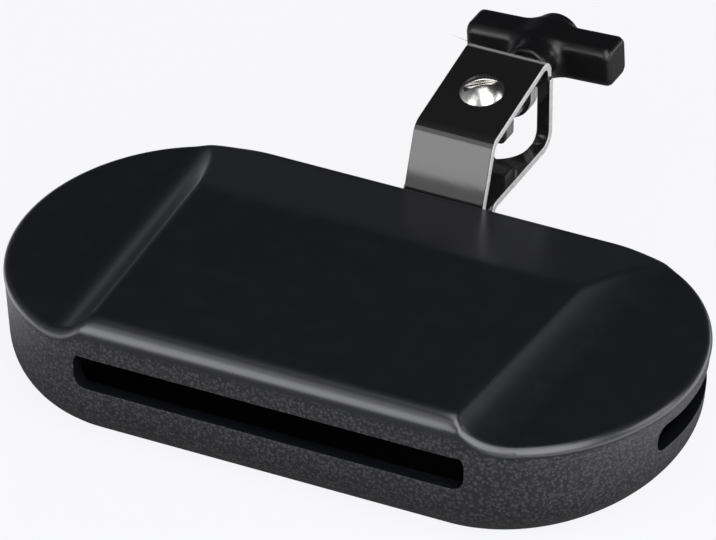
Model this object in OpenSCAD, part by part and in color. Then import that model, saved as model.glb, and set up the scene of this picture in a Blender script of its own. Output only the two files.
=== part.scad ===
// Clamp-mounted percussion block: a hollow moulded block with sound slots, carried by a steel rod clamp.
// Millimetres. Origin at the centre of the flat underside, +X to the player's right, +Y to the clamp, +Z up.

/* [Block] */
// Overall length of the block
block_l = 175; // [150:1:200]
// Overall width of the block, front wall to back wall
block_w = 96.6; // [88:0.2:110]
// Height of the lid's side wall, from the seam between the shells to the rim
lid_h = 3.55; // [3:0.05:4.5]
// Height of the playing panel above the rim
panel_rise = 7; // [4:0.5:9]
// How far each rounded end reaches past the straight walls
end_reach = 42; // [34:1:46]
// Wall thickness of both shells
wall = 3.6; // [2.6:0.1:4.4]
// Radius of the rounded lower edge
base_r = 11; // [10:0.25:12.5]
// Height of the straight part of the wall, from the rounded edge to the seam between the shells
straight_h = 12.75; // [10:0.25:13.5]
// How much each end narrows from the rim to the underside
end_taper = 2.8; // [0:0.2:5]
// Radius of the small edge round the rim
rim_r = 2.2; // [0.8:0.1:2.6]

/* [Playing panel] */
// Length of the flat panel top at the front edge
panel_l = 95; // [84:1:104]
// Radius of the rounded front edge of the panel
panel_front_r = 6; // [4:0.5:6.5]
// Length over which each end of the panel sweeps down to the rim
panel_sweep = 14; // [8:1:16]
// Depth of the slope behind the flat panel top
panel_back = 30; // [12:1:36]
// Height above the rim that the panel keeps at the back
panel_back_rise = 0.5; // [0.2:0.1:1]
// How much further out each end of the panel lies at the back wall than at the front
panel_flare = 5; // [0:0.5:8]

/* [Sound slots] */
// Height of the front slot, down from the seam
slot_h = 8.7; // [7:0.1:11]
// Length of the front slot
front_slot_l = 102; // [80:1:104]
// Height of each end slot, down from the seam
end_slot_h = 7.2; // [7.1:0.1:9]
// Plastic left between an end slot and the seam
end_slot_drop = 2.1; // [1.5:0.1:3]
// Length of each end slot, measured across the block
end_slot_w = 41; // [28:1:46]
// How far the end slots sit behind the middle of the block
end_slot_shift = 7; // [4:1:9]
// Corner radius of the slots
slot_r = 3; // [1.5:0.25:3.5]

/* [Shell screws] */
// Diameter of the shell screws
shell_screw_d = 4; // [3:0.25:4.5]
// Head diameter of the shell screws
shell_head_d = 7.2; // [6:0.2:8]
// Depth of the screw wells in the underside
screw_well = 8; // [6:0.5:10]

/* [Clamp straps] */
// Width of the upper steel strap
strap_w = 21.2; // [20:0.2:25]
// Width of the lower steel strap
lower_strap_w = 24; // [22:0.2:26]
// Lean of the upper strap's riser, in degrees
riser_lean = 23; // [18:1:24]
// Thickness of the steel straps
strap_t = 2; // [1.5:0.1:2.2]
// Slope of the upper strap's top, in degrees
strap_slope = 12; // [11:0.1:13]
// Height of the lower strap's underside above the seam
lower_strap_rise = 0.75; // [0.5:0.05:1.5]
// Height of the upper strap's front corner above the seam
strap_corner_rise = 16.9; // [16.9:0.05:18]
// Width of the clear window in the lower strap
window_w = 17; // [15:0.5:19]

/* [Rod seat] */
// Diameter of the rod that the clamp holds
rod_d = 9.5; // [8:0.1:10]
// Radial clearance between the seat and the rod
rod_gap = 0.05; // [0.02:0.01:0.1]
// Distance of the rod's axis behind the back wall
rod_y = 16.9; // [16.5:0.1:17.5]
// Height of the rod's axis above the seam
rod_rise = 12.25; // [11.9:0.05:12.3]
// Free way of the shoe from the rod back to the strap nut
shoe_travel = 3.6; // [3.4:0.1:5]
// Thickness of the fixed jaw's leg in front of the rod
jaw_leg_t = 2.6; // [2.2:0.1:2.6]

/* [Wing screw] */
// Thread diameter of the wing screw
wing_d = 6; // [5:0.5:6.5]
// Height of the wing screw's axis above the rod's axis
wing_rise = 1.2; // [0.8:0.1:1.5]
// Length of the grip's cross bar
grip_l = 39; // [32:1:50]
// Turn of the cross bar from level with the grip at rest, in degrees
grip_turn = 3; // [0:1:8]
// Height of the grip's cross bar at its middle
grip_bar_h = 11.4; // [9:0.2:11.6]
// Depth of the cross bar at its middle, along the hub
grip_bar_deep = 15.4; // [11:0.2:15.6]
// Diameter of the grip's hub
grip_hub_d = 11.8; // [11:0.2:15]
// Length of the grip's hub
grip_hub_l = 20; // [16:0.5:24]
// Gap between the strap and the grip's hub with a rod in place
grip_gap = 7.6; // [7:0.2:12]

/* [Hidden] */

// Overrun of a cut past the face that it opens
cut = 1;
// Gap between pieces that only lie beside each other
slip = 0.1;
// Radial running clearance of turning and sliding parts
run = 0.05;
round_fn = 64;
end_steps = 32;
base_steps = 5;

half_l = block_l / 2;
half_w = block_w / 2;
straight = half_l - end_reach;
seam_h = base_r + straight_h;
rim_h = seam_h + lid_h;
panel_top = rim_h + panel_rise;

// Heights of the clamp above the underside
lower_strap_z = seam_h + lower_strap_rise;
strap_corner_z = seam_h + strap_corner_rise;
rod_z = seam_h + rod_rise;
wing_z = rod_z + wing_rise;

// Depths of the clamp behind the back wall: rod, pad, shoe, its travel, strap nut and both straps
seat_r = rod_d / 2 + rod_gap;
pad_t = 1.2;
shoe_t = 4;
strap_nut_h = 4.4;
pad_y = rod_y + seat_r + slip;
shoe_y = pad_y + pad_t;
leg_y = shoe_y + shoe_t + shoe_travel + strap_nut_h;
loop_depth = leg_y + 2 * strap_t;

// Share of the panel's rise at which its sides leave the rim, from rim to top
sweep_run_shares = [1, 0.78, 0.58, 0.4, 0.24, 0.1, 0];
sweep_rise_shares = [0, 0.03, 0.11, 0.26, 0.48, 0.76, 1];

// Plan outline of the block, drawn in by d at the sides and by d + dx at the ends
function plan(d, dx) = concat(
    [for (i = [0 : end_steps]) let (a = -90 + 180 * i / end_steps)
        [straight + (end_reach - d - dx) * cos(a), (half_w - d) * sin(a)]],
    [for (i = [0 : end_steps]) let (a = 90 + 180 * i / end_steps)
        [-straight + (end_reach - d - dx) * cos(a), (half_w - d) * sin(a)]]);

// Narrowing of the ends at height z
function taper(z) = end_taper * (rim_h - z) / rim_h;

// Rings of the outer face from the underside up to height top: height, side inset, extra end inset
function base_rings(top) = concat(
    [for (i = [0 : base_steps]) let (a = 90 * i / base_steps, z = base_r * (1 - cos(a)))
        [z, base_r * (1 - sin(a)), taper(z)]],
    [[top, 0, taper(top)]]);

// The same rings for the inner face, one wall inside
function inner_base_rings(top) = concat(
    [for (i = [0 : base_steps]) let (a = 90 * i / base_steps, r = base_r - wall, z = wall + r * (1 - cos(a)))
        [z, wall + r * (1 - sin(a)), taper(z)]],
    [[top, wall, taper(top)]]);

// Closed solid through a stack of rings
module stack(rings) {
    count = 2 * (end_steps + 1);
    last = len(rings) - 1;
    points = [for (r = rings) for (p = plan(r[1], r[2])) [p[0], p[1], r[0]]];
    faces = concat(
        [[for (i = [0 : count - 1]) i]],
        [for (k = [0 : last - 1]) for (i = [0 : count - 1]) let (j = (i + 1) % count)
            [k * count + i, (k + 1) * count + i, (k + 1) * count + j, k * count + j]],
        [[for (i = [0 : count - 1]) last * count + count - 1 - i]]);
    polyhedron(points, faces);
}

// Right end of the panel seen from the front: flat top, hollow sweep down to the rim.
// It is lowered and drawn in by d for the hollow underneath.
module panel_front_view(d) {
    reach = panel_l / 2 - d;
    side = [for (i = [0 : len(sweep_run_shares) - 1])
        [reach + panel_sweep * sweep_run_shares[i], rim_h - d + panel_rise * sweep_rise_shares[i]]];
    root = (seam_h + rim_h) / 2 - d;
    polygon(concat([[side[0][0], root]], side, [[-block_l, panel_top - d], [-block_l, root]]));
}

// Half panel that ends on the right and turns outwards towards the back
module panel_to_right(d) {
    flare = atan(panel_flare / block_w);
    translate([0, -half_w, 0]) rotate([0, 0, -flare]) rotate([90, 0, 0])
        linear_extrude(4 * block_w, center = true) panel_front_view(d);
}

// Side profile of the panel: rounded front edge, flat top, slope down to the back rim
module panel_side_view(d) {
    front = -half_w + d;
    top = panel_top - d;
    root = (seam_h + rim_h) / 2 - d;
    r = panel_front_r - d / 2;
    back = half_w - rim_r - d;
    union() {
        polygon([[front, root], [front, top - r], [front + r, top - r], [front + r, top],
                 [back - panel_back, top], [back, rim_h + panel_back_rise - d], [back, root]]);
        translate([front + r, top - r]) circle(r, $fn = round_fn);
    }
}

// The raised panel, drawn in by d
module panel(d) {
    intersection() {
        panel_to_right(d);
        mirror([1, 0, 0]) panel_to_right(d);
        rotate([90, 0, 90]) linear_extrude(2 * block_l, center = true) panel_side_view(d);
        linear_extrude(panel_top + cut) polygon(plan(d, 0));
    }
}

// Bar with rounded corners, seen from the front, that cuts a slot of length l between two heights
module slot_bar(l, floor_z, top_z, depth) {
    side = l / 2 - slot_r;
    rotate([90, 0, 0]) linear_extrude(depth, center = true) union() {
        translate([-l / 2, floor_z + slot_r]) square([l, top_z - floor_z - 2 * slot_r]);
        translate([-side, floor_z]) square([2 * side, top_z - floor_z]);
        for (x = [-side, side], z = [floor_z + slot_r, top_z - slot_r])
            translate([x, z]) circle(slot_r, $fn = round_fn);
    }
}

// The front slot's upper corners run a little over the seam, as a share of their radius
corner_over_share = 0.2;
// Cuts for the front slot, which the lid closes, and for the end slots, which end below the seam
module slots() {
    slot_deep = 2 * (wall + base_r);
    translate([0, -half_w, 0])
        slot_bar(front_slot_l, seam_h - slot_h, seam_h + slot_r * corner_over_share, slot_deep);
    end_top = seam_h - end_slot_drop;
    for (s = [-1, 1]) translate([s * half_l, end_slot_shift, 0])
        rotate([0, 0, 90]) slot_bar(end_slot_w, end_top - end_slot_h, end_top, 2 * end_reach / 3);
}

// Places of the six shell screws, as shares of the straight length, end reach and half width
screw_place_shares = [[1, 0.4, -0.56], [1, 0.4, 0.56], [0.64, 0, 0.76]];
module at_shell_screws() {
    for (s = [-1, 1], p = screw_place_shares)
        translate([s * (p[0] * straight + p[1] * end_reach), p[2] * half_w, 0]) children();
}
boss_d = shell_head_d + wall;
// Pilot hole, head height, driver socket and its depth, as shares
pilot_share = 0.84;
head_share = 0.6;
driver_share = 0.3;
driver_depth_share = 0.6;
pilot_d = shell_screw_d * pilot_share;
// Plastic left above the pilot holes
boss_skin = 0.9;
boss_pilot_depth = lid_h - boss_skin;

// Height of the shell screws' head seat above the underside
shell_seat = screw_well;

// Middle point of the rim's rounded edge, as a share of its radius
rim_edge_share = 0.3;
rim_edge = rim_r * rim_edge_share;
module top_shell() {
    color([0.1, 0.1, 0.12]) difference() {
        union() {
            difference() {
                union() {
                    stack([[seam_h, 0, taper(seam_h)], [rim_h - rim_r, 0, 0],
                           [rim_h - rim_edge, rim_edge, 0], [rim_h, rim_r, 0]]);
                    panel(0);
                }
                stack([[seam_h - wall, wall, taper(seam_h)], [rim_h - wall, wall, 0]]);
                panel(wall);
            }
            at_shell_screws() translate([0, 0, seam_h]) cylinder(d = boss_d, h = rim_h - seam_h - wall / 2,
                                                                 $fn = round_fn);
        }
        at_shell_screws() translate([0, 0, seam_h - cut]) cylinder(d = pilot_d, h = boss_pilot_depth + cut,
                                                                  $fn = round_fn);
    }
}

module bottom_shell() {
    color([0.16, 0.16, 0.18]) difference() {
        union() {
            difference() {
                stack(base_rings(seam_h));
                stack(inner_base_rings(seam_h + cut));
                slots();
            }
            at_shell_screws() translate([0, 0, wall / 2]) cylinder(d = boss_d, h = seam_h - wall / 2,
                                                                   $fn = round_fn);
        }
        at_shell_screws() {
            translate([0, 0, -cut]) cylinder(d = shell_screw_d + 2 * slip, h = seam_h + 2 * cut, $fn = round_fn);
            translate([0, 0, -cut]) cylinder(d = shell_head_d + 2 * slip, h = shell_seat + cut, $fn = round_fn);
        }
        at_mount_screws() rotate([-90, 0, 0]) cylinder(r = mount_hole_r, h = 3 * wall, center = true,
                                                      $fn = round_fn);
    }
}

shell_screw_l = seam_h - shell_seat + boss_pilot_depth - slip;
shell_head_h = shell_screw_d * head_share;
driver_r = shell_screw_d * driver_share;
driver_deep = shell_head_h * driver_depth_share;
module shell_screws() {
    color([0.3, 0.3, 0.32]) at_shell_screws() translate([0, 0, shell_seat]) difference() {
        union() {
            mirror([0, 0, 1]) cylinder(d = shell_head_d, h = shell_head_h, $fn = round_fn);
            cylinder(d = shell_screw_d, h = seam_h - shell_seat, $fn = round_fn);
            cylinder(d = pilot_d - slip, h = shell_screw_l, $fn = round_fn);
        }
        translate([0, 0, -shell_head_h - cut]) cylinder(r = driver_r, h = driver_deep + cut, $fn = 6);
    }
}

// Clamp: everything behind the back wall is placed from the wall's outer face
module behind() {
    translate([0, half_w, 0]) children();
}
// Draws a side profile (distance behind the wall, height) across the width w
module across(w) {
    rotate([90, 0, 90]) linear_extrude(w, center = true) children();
}
// Points of an arc round c with radius r, between two angles
bend_steps = 10;
function arc(c, r, from, to) = [for (i = [0 : bend_steps])
    let (a = from + (to - from) * i / bend_steps) c + r * [cos(a), sin(a)]];

mount_screw_d = 4;
mount_head_d = 7.2;
mount_head_h = 2.8;
mount_washer_t = 0.8;
mount_washer_r = 4.4;
spring_washer_t = 1;
mount_nut_af = 7;
mount_nut_h = 3.2;
plate_t = 2;
mount_pitch = 12.6;
// The mounting screws go through the middle of the straight part of the back wall
plate_h = seam_h - base_r - 2 * slip;
mount_z = base_r + slip + plate_h / 2;
foot_end_z = mount_z - mount_washer_r;
mount_hole_r = mount_screw_d / 2 + slip;
module at_mount_screws() {
    behind() for (s = [-1, 1]) translate([s * mount_pitch / 2, 0, mount_z]) children();
}

front_bend_r = 5;
rear_bend_r = 4;
// Tangent lengths of the two bends of the upper strap
front_turn = 90 - strap_slope - riser_lean;
rear_turn = 90 + strap_slope;
front_tan = front_bend_r * tan(front_turn / 2);
rear_tan = rear_bend_r * tan(rear_turn / 2);
// The riser leaves the wall at the rim and leans back; its corner with the top is virtual
riser_foot_z = rim_h - 2 * strap_t * tan(riser_lean / 2);
corner_y = (strap_corner_z - riser_foot_z) * tan(riser_lean) / (1 - tan(strap_slope) * tan(riser_lean));
corner_z = strap_corner_z + corner_y * tan(strap_slope);
rear_corner_z = strap_corner_z + loop_depth * tan(strap_slope);
boss_r = 7;
rear_lip = 1.4;
bush_t = 1;
bush_r = wing_d / 2 + bush_t;

// Side profile of the upper strap: foot, leaning riser, front bend, sloping top, rear bend, short lip
module upper_profile() {
    lean = [sin(riser_lean), cos(riser_lean)];
    front_centre = [corner_y, corner_z] - front_tan * lean + front_bend_r * [cos(riser_lean), -sin(riser_lean)];
    rear_centre = [loop_depth - rear_bend_r, rear_corner_z - rear_tan];
    lip_z = rear_centre[1] - rear_lip;
    polygon(concat(
        [[0, foot_end_z], [0, riser_foot_z]],
        arc(front_centre, front_bend_r, 180 - riser_lean, 90 + strap_slope),
        arc(rear_centre, rear_bend_r, 90 + strap_slope, 0),
        [[loop_depth, lip_z], [loop_depth - strap_t, lip_z]],
        arc(rear_centre, rear_bend_r - strap_t, 0, 90 + strap_slope),
        arc(front_centre, front_bend_r - strap_t, 90 + strap_slope, 180 - riser_lean),
        [[strap_t, riser_foot_z - strap_t * tan(riser_lean / 2)], [strap_t, foot_end_z]]));
}

// Rounded ear of width 2 * boss_r round the wing screw, reaching up to height top, seen from behind
module ear(top) {
    union() {
        translate([0, wing_z]) circle(boss_r, $fn = round_fn);
        translate([-boss_r, wing_z]) square([2 * boss_r, top - wing_z]);
    }
}
// Extrudes a rear view over a span of depth behind the wall
module rearward(from, t) {
    translate([0, from + t, 0]) rotate([90, 0, 0]) linear_extrude(t) children();
}
module wing_hole(r, from, t) {
    translate([0, from - cut, wing_z]) rotate([-90, 0, 0]) cylinder(r = r, h = t + 2 * cut, $fn = round_fn);
}

// Seat of the slotted screw on the sloping top: distance behind the wall
screw_reach = 4.6;
jaw_screw_y = rod_y + screw_reach;
jaw_screw_d = 5;
jaw_head_d = 11.4;
jaw_head_h = 3;
jaw_screw_l = 3.9;
module on_top() {
    translate([0, jaw_screw_y, strap_corner_z + jaw_screw_y * tan(strap_slope)])
        rotate([strap_slope, 0, 0]) children();
}

module upper_strap() {
    color([0.2, 0.2, 0.22]) behind() difference() {
        union() {
            across(strap_w) upper_profile();
            rearward(loop_depth - strap_t, strap_t) ear(rear_corner_z - rear_tan - rear_lip / 2);
        }
        wing_hole(bush_r + slip, loop_depth - strap_t, strap_t);
        for (s = [-1, 1]) translate([s * mount_pitch / 2, 0, mount_z])
            rotate([-90, 0, 0]) cylinder(r = mount_hole_r, h = 3 * strap_t, center = true, $fn = round_fn);
        on_top() cylinder(d = jaw_screw_d + 2 * slip, h = 3 * strap_t, center = true, $fn = round_fn);
    }
}

lower_front_r = 3.6;
lower_rear_r = 5;
leg_top_z = rear_corner_z - rear_tan - slip;
window_step = 5;
window_mid = leg_y - window_step;
window_rise = 3.8;
window_top_z = wing_z + window_rise;
// Side profile of the lower strap: foot, bend, flat bottom, bend, rear leg
module lower_profile() {
    front_centre = [strap_t + lower_front_r, lower_strap_z + strap_t - lower_front_r];
    rear_centre = [leg_y + strap_t - lower_rear_r, lower_strap_z + lower_rear_r];
    polygon(concat(
        [[strap_t, foot_end_z]],
        arc(front_centre, lower_front_r, 180, 90),
        arc(rear_centre, lower_rear_r - strap_t, -90, 0),
        [[leg_y, leg_top_z], [leg_y + strap_t, leg_top_z]],
        arc(rear_centre, lower_rear_r, 0, -90),
        arc(front_centre, lower_front_r - strap_t, 90, 180),
        [[2 * strap_t, foot_end_z]]));
}

module lower_strap() {
    color([0.14, 0.14, 0.16]) behind() difference() {
        union() {
            difference() {
                across(lower_strap_w) lower_profile();
                translate([-window_w / 2, window_mid, lower_strap_z - cut])
                    cube([window_w, loop_depth, window_top_z - lower_strap_z + cut]);
                translate([0, window_mid, lower_strap_z - cut])
                    cylinder(d = window_w, h = 2 * strap_t + cut, $fn = round_fn);
            }
            rearward(leg_y, strap_t) ear(leg_top_z);
        }
        wing_hole(bush_r + slip, leg_y, strap_t);
        for (s = [-1, 1]) translate([s * mount_pitch / 2, strap_t, mount_z])
            rotate([-90, 0, 0]) cylinder(r = mount_hole_r, h = 3 * strap_t, center = true, $fn = round_fn);
    }
}

// Stack of the mounting screws, outwards from the wall's outer face
washer_y = 2 * strap_t;
spring_y = washer_y + mount_washer_t;
head_y = spring_y + spring_washer_t;
nut_y = -wall - plate_t - mount_nut_h;
module ring_at(y, r_out, r_in, t) {
    translate([0, y, 0]) rotate([-90, 0, 0]) difference() {
        cylinder(r = r_out, h = t, $fn = round_fn);
        translate([0, 0, -cut]) cylinder(r = r_in, h = t + 2 * cut, $fn = round_fn);
    }
}
mount_tip = 1.2;
mount_driver_share = 0.7;
mount_driver_d = mount_screw_d * mount_driver_share;
module mount_screws() {
    color([0.55, 0.55, 0.56]) at_mount_screws() difference() {
        union() {
            translate([0, nut_y - mount_tip, 0]) rotate([-90, 0, 0])
                cylinder(d = mount_screw_d, h = head_y - nut_y + mount_tip, $fn = round_fn);
            translate([0, head_y, 0]) rotate([-90, 0, 0])
                cylinder(d = mount_head_d, h = mount_head_h, $fn = round_fn);
        }
        translate([0, head_y + mount_head_h / 2, 0]) rotate([-90, 0, 0])
            cylinder(d = mount_driver_d, h = mount_head_h, $fn = 6);
    }
}
module mount_washers() {
    color([0.7, 0.7, 0.7]) at_mount_screws() ring_at(washer_y, mount_washer_r, mount_hole_r, mount_washer_t);
}
spring_gap = 1;
spring_share = 0.48;
spring_r = mount_head_d * spring_share;
module spring_washers() {
    color([0.45, 0.45, 0.47]) at_mount_screws() difference() {
        ring_at(spring_y, spring_r, mount_hole_r, spring_washer_t);
        translate([-spring_gap / 2, spring_y - cut, 0]) cube([spring_gap, spring_washer_t + 2 * cut, mount_head_d]);
    }
}
plate_w = mount_pitch + 2 * mount_head_d;
module backing_plate() {
    color([0.6, 0.6, 0.6]) difference() {
        behind() translate([-plate_w / 2, -wall - plate_t, base_r + slip]) cube([plate_w, plate_t, plate_h]);
        at_mount_screws() rotate([-90, 0, 0]) cylinder(r = mount_hole_r, h = 4 * (wall + plate_t), center = true,
                                                      $fn = round_fn);
    }
}
module mount_nuts() {
    color([0.65, 0.65, 0.66]) at_mount_screws() translate([0, nut_y, 0]) rotate([-90, 0, 0]) difference() {
        cylinder(d = mount_nut_af / cos(30), h = mount_nut_h, $fn = 6);
        translate([0, 0, -cut]) cylinder(r = mount_screw_d / 2 + run, h = mount_nut_h + 2 * cut, $fn = round_fn);
    }
}

// Fixed jaw: a cast block under the upper strap, hollowed to seat the rod from above and in front
jaw_front = rod_y - seat_r - jaw_leg_t;
// How far the jaw's leg hangs below the rod's axis, and where its lip and its rear end lie
jaw_hang = 4;
lip_reach = 1.9;
roof_reach = 9.5;
jaw_foot_z = rod_z - jaw_hang;
jaw_lip = rod_y - lip_reach;
jaw_roof_z = rod_z + seat_r;
jaw_end = rod_y + roof_reach;
jaw_w = 15.6;
function strap_under(y) = strap_corner_z + y * tan(strap_slope) - strap_t / cos(strap_slope);
module jaw_profile() {
    difference() {
        polygon([[jaw_front, jaw_foot_z], [jaw_lip, jaw_foot_z], [jaw_lip, rod_z], [rod_y, jaw_roof_z],
                 [jaw_end, jaw_roof_z], [jaw_end, strap_under(jaw_end)], [jaw_front, strap_under(jaw_front)]]);
        translate([rod_y, rod_z]) circle(seat_r, $fn = round_fn);
    }
}
module fixed_jaw() {
    color([0.12, 0.12, 0.13]) behind() difference() {
        across(jaw_w) jaw_profile();
        on_top() cylinder(d = jaw_screw_d + 2 * run, h = 4 * jaw_screw_l, center = true, $fn = round_fn);
    }
}
// Domed slotted head on a short shank, turned so that its slot lies askew
slot_turn = 34;
head_slot_w = 1.8;
module jaw_screw() {
    dome_r = (jaw_head_d * jaw_head_d / 4 + jaw_head_h * jaw_head_h) / (2 * jaw_head_h);
    color([0.8, 0.8, 0.78]) behind() on_top() difference() {
        union() {
            translate([0, 0, -jaw_screw_l]) cylinder(d = jaw_screw_d, h = jaw_screw_l, $fn = round_fn);
            intersection() {
                cylinder(d = jaw_head_d, h = jaw_head_h, $fn = round_fn);
                translate([0, 0, jaw_head_h - dome_r]) sphere(dome_r, $fn = round_fn);
            }
        }
        rotate([0, 0, slot_turn]) translate([-jaw_head_d, -head_slot_w / 2, jaw_head_h / 2])
            cube([2 * jaw_head_d, head_slot_w, jaw_head_h]);
    }
}

// Nut whose round shank passes through both straps and holds them together
strap_nut_af = 10.6;
module strap_nut() {
    shank_l = 2 * strap_t;
    color([0.75, 0.75, 0.72]) behind() translate([0, leg_y, wing_z]) rotate([-90, 0, 0]) difference() {
        union() {
            translate([0, 0, -strap_nut_h]) rotate([0, 0, 30])
                cylinder(d = strap_nut_af / cos(30), h = strap_nut_h, $fn = 6);
            translate([0, 0, -strap_nut_h / 2])
                cylinder(r = bush_r, h = shank_l + strap_nut_h / 2, $fn = round_fn);
        }
        translate([0, 0, -strap_nut_h - cut])
            cylinder(r = wing_d / 2 + run, h = strap_nut_h + shank_l + 2 * cut, $fn = round_fn);
    }
}

// Pressure shoe at rest: it touches a rod that lies in the seat
shoe_w = 12.4;
shoe_above = 3.2;
shoe_below = 6;
shoe_corner = 1.5;
shoe_top = wing_z + shoe_above;
shoe_foot = wing_z - shoe_below;
disc_r = 2.5;
disc_t = 1.4;
neck_r = 1.8;
collar_t = 1.3;
pocket_floor = 0.6;
disc_y = shoe_y + pocket_floor;
collar_y = shoe_y + shoe_t - collar_t;
bolt_y = shoe_y + shoe_t + 2 * slip;
grip_y = loop_depth + grip_gap;
// Place of the cross bar along the hub, as a share of the hub's length
bar_share = 0.6;
bolt_end = grip_y + grip_hub_l * bar_share;
module round_y(y0, y1, r) {
    translate([0, y0, wing_z]) rotate([-90, 0, 0]) cylinder(r = r, h = y1 - y0, $fn = round_fn);
}
module shoe_blank(y, t) {
    low = shoe_foot + shoe_corner;
    rearward(y, t) union() {
        translate([-shoe_w / 2, low]) square([shoe_w, shoe_top - low]);
        translate([-shoe_w / 2 + shoe_corner, shoe_foot]) square([shoe_w - 2 * shoe_corner, shoe_top - shoe_foot]);
        for (s = [-1, 1]) translate([s * (shoe_w / 2 - shoe_corner), low]) circle(shoe_corner, $fn = round_fn);
    }
}
module shoe_plate() {
    color([0.55, 0.56, 0.58]) behind() difference() {
        shoe_blank(shoe_y, shoe_t);
        round_y(disc_y - slip, shoe_y + shoe_t + cut, disc_r + slip);
    }
}
module shoe_pad() {
    color([0.07, 0.07, 0.07]) behind() shoe_blank(pad_y, pad_t);
}
module shoe_collar() {
    color([0.7, 0.62, 0.4]) behind() difference() {
        round_y(collar_y, collar_y + collar_t, disc_r + slip);
        round_y(collar_y - cut, collar_y + collar_t + cut, neck_r + run);
    }
}
module wing_bolt() {
    color([0.62, 0.62, 0.64]) behind() union() {
        round_y(disc_y, disc_y + disc_t, disc_r);
        round_y(disc_y + disc_t - slip, bolt_y + slip, neck_r);
        round_y(bolt_y, bolt_end, wing_d / 2);
    }
}

// Half profile of the hub with rounded end edges, turned about its axis: length l, radius r, edge e
module hub_profile(l, r, e) {
    union() {
        square([r - e, l]);
        translate([0, e]) square([r, l - 2 * e]);
        for (y = [e, l - e]) translate([r - e, y]) circle(e, $fn = round_fn);
    }
}
module turned_hub(l, r, e) {
    rotate_extrude($fn = round_fn) intersection() {
        hub_profile(l, r, e);
        square([r, l]);
    }
}
grip_edge_r = 1;
// Size of the cross bar's ends, as a share of its middle
bar_end_share = 0.88;
bar_y = grip_y + grip_hub_l * bar_share;
// Flattened round arm of the cross bar, a little smaller at its end
module grip_arm() {
    rotate([0, 90, 0]) linear_extrude(grip_l / 2, scale = bar_end_share)
        scale([1, grip_bar_deep / grip_bar_h]) circle(d = grip_bar_h, $fn = round_fn);
}
module wing_grip() {
    color([0.08, 0.08, 0.09]) behind() difference() {
        union() {
            translate([0, grip_y, wing_z]) rotate([-90, 0, 0])
                turned_hub(grip_hub_l, grip_hub_d / 2, grip_edge_r);
            translate([0, bar_y, wing_z]) rotate([0, -grip_turn, 0])
                for (turn = [0, 180]) rotate([0, 0, turn]) grip_arm();
        }
        round_y(grip_y - cut, bolt_end + slip, wing_d / 2 + slip / 2);
    }
}

top_shell();
bottom_shell();
shell_screws();
upper_strap();
lower_strap();
mount_screws();
mount_washers();
spring_washers();
backing_plate();
mount_nuts();
fixed_jaw();
jaw_screw();
strap_nut();
wing_bolt();
wing_grip();
shoe_plate();
shoe_pad();
shoe_collar();
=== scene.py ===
"""Dresses the clamp-mounted percussion block: shells, straps, screws, shoe and wing grip, in metres."""

import math

import bmesh
import bpy
import numpy as np
from mathutils import Matrix, Vector


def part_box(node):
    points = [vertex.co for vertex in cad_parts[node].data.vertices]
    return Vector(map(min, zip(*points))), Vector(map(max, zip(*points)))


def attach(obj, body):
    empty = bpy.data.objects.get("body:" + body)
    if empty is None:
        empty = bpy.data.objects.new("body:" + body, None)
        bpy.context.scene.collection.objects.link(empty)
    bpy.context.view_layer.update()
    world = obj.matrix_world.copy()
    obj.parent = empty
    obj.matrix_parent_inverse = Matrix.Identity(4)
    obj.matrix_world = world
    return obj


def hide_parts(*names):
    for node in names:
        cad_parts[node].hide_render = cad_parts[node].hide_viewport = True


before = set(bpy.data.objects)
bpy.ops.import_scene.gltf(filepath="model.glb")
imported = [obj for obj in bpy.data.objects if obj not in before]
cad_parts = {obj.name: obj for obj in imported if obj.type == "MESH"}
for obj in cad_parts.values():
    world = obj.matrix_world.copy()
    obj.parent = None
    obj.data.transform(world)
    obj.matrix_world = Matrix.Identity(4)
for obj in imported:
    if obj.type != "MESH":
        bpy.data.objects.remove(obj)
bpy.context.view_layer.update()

mm = 0.001


# View, floor and light
# A long lens looks down on the block from its right front, as the photograph does. The block stands
# on white paper in a light tent, with two softboxes in front, one above the other, and one each at
# the lens's side, overhead and at the right.

view_turn = math.radians(25.71)
view_height = math.radians(32.8)
view_roll = math.radians(0.22)
view_distance = 2177 * mm
lens_px = 9139
frame_px = 716
sensor = 36
# Point of the object that the lens was aimed at, and how far the frame's middle lies from it
aim = Vector((0, 0, 13.57 * mm))
lift = 17.2 * mm
sideways = 0.53 * mm

towards = Vector((math.sin(view_turn) * math.cos(view_height),
                  -math.cos(view_turn) * math.cos(view_height), math.sin(view_height)))
level = Vector((math.cos(view_turn), math.sin(view_turn), 0))
upward = towards.cross(level)
right = level * math.cos(view_roll) + upward * math.sin(view_roll)
up = upward * math.cos(view_roll) - level * math.sin(view_roll)
camera = bpy.data.objects.new("camera", bpy.data.cameras.new("camera"))
camera.data.sensor_width = sensor
camera.data.lens = lens_px / frame_px * sensor
camera.data.clip_end = 100
turned = Matrix((right, up, towards)).transposed().to_4x4()
stand = aim + towards * view_distance + up * lift + right * sideways
camera.matrix_world = Matrix.Translation(stand) @ turned
bpy.context.scene.collection.objects.link(camera)
bpy.context.scene.camera = camera
bpy.context.scene.view_settings.view_transform = "Standard"


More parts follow.
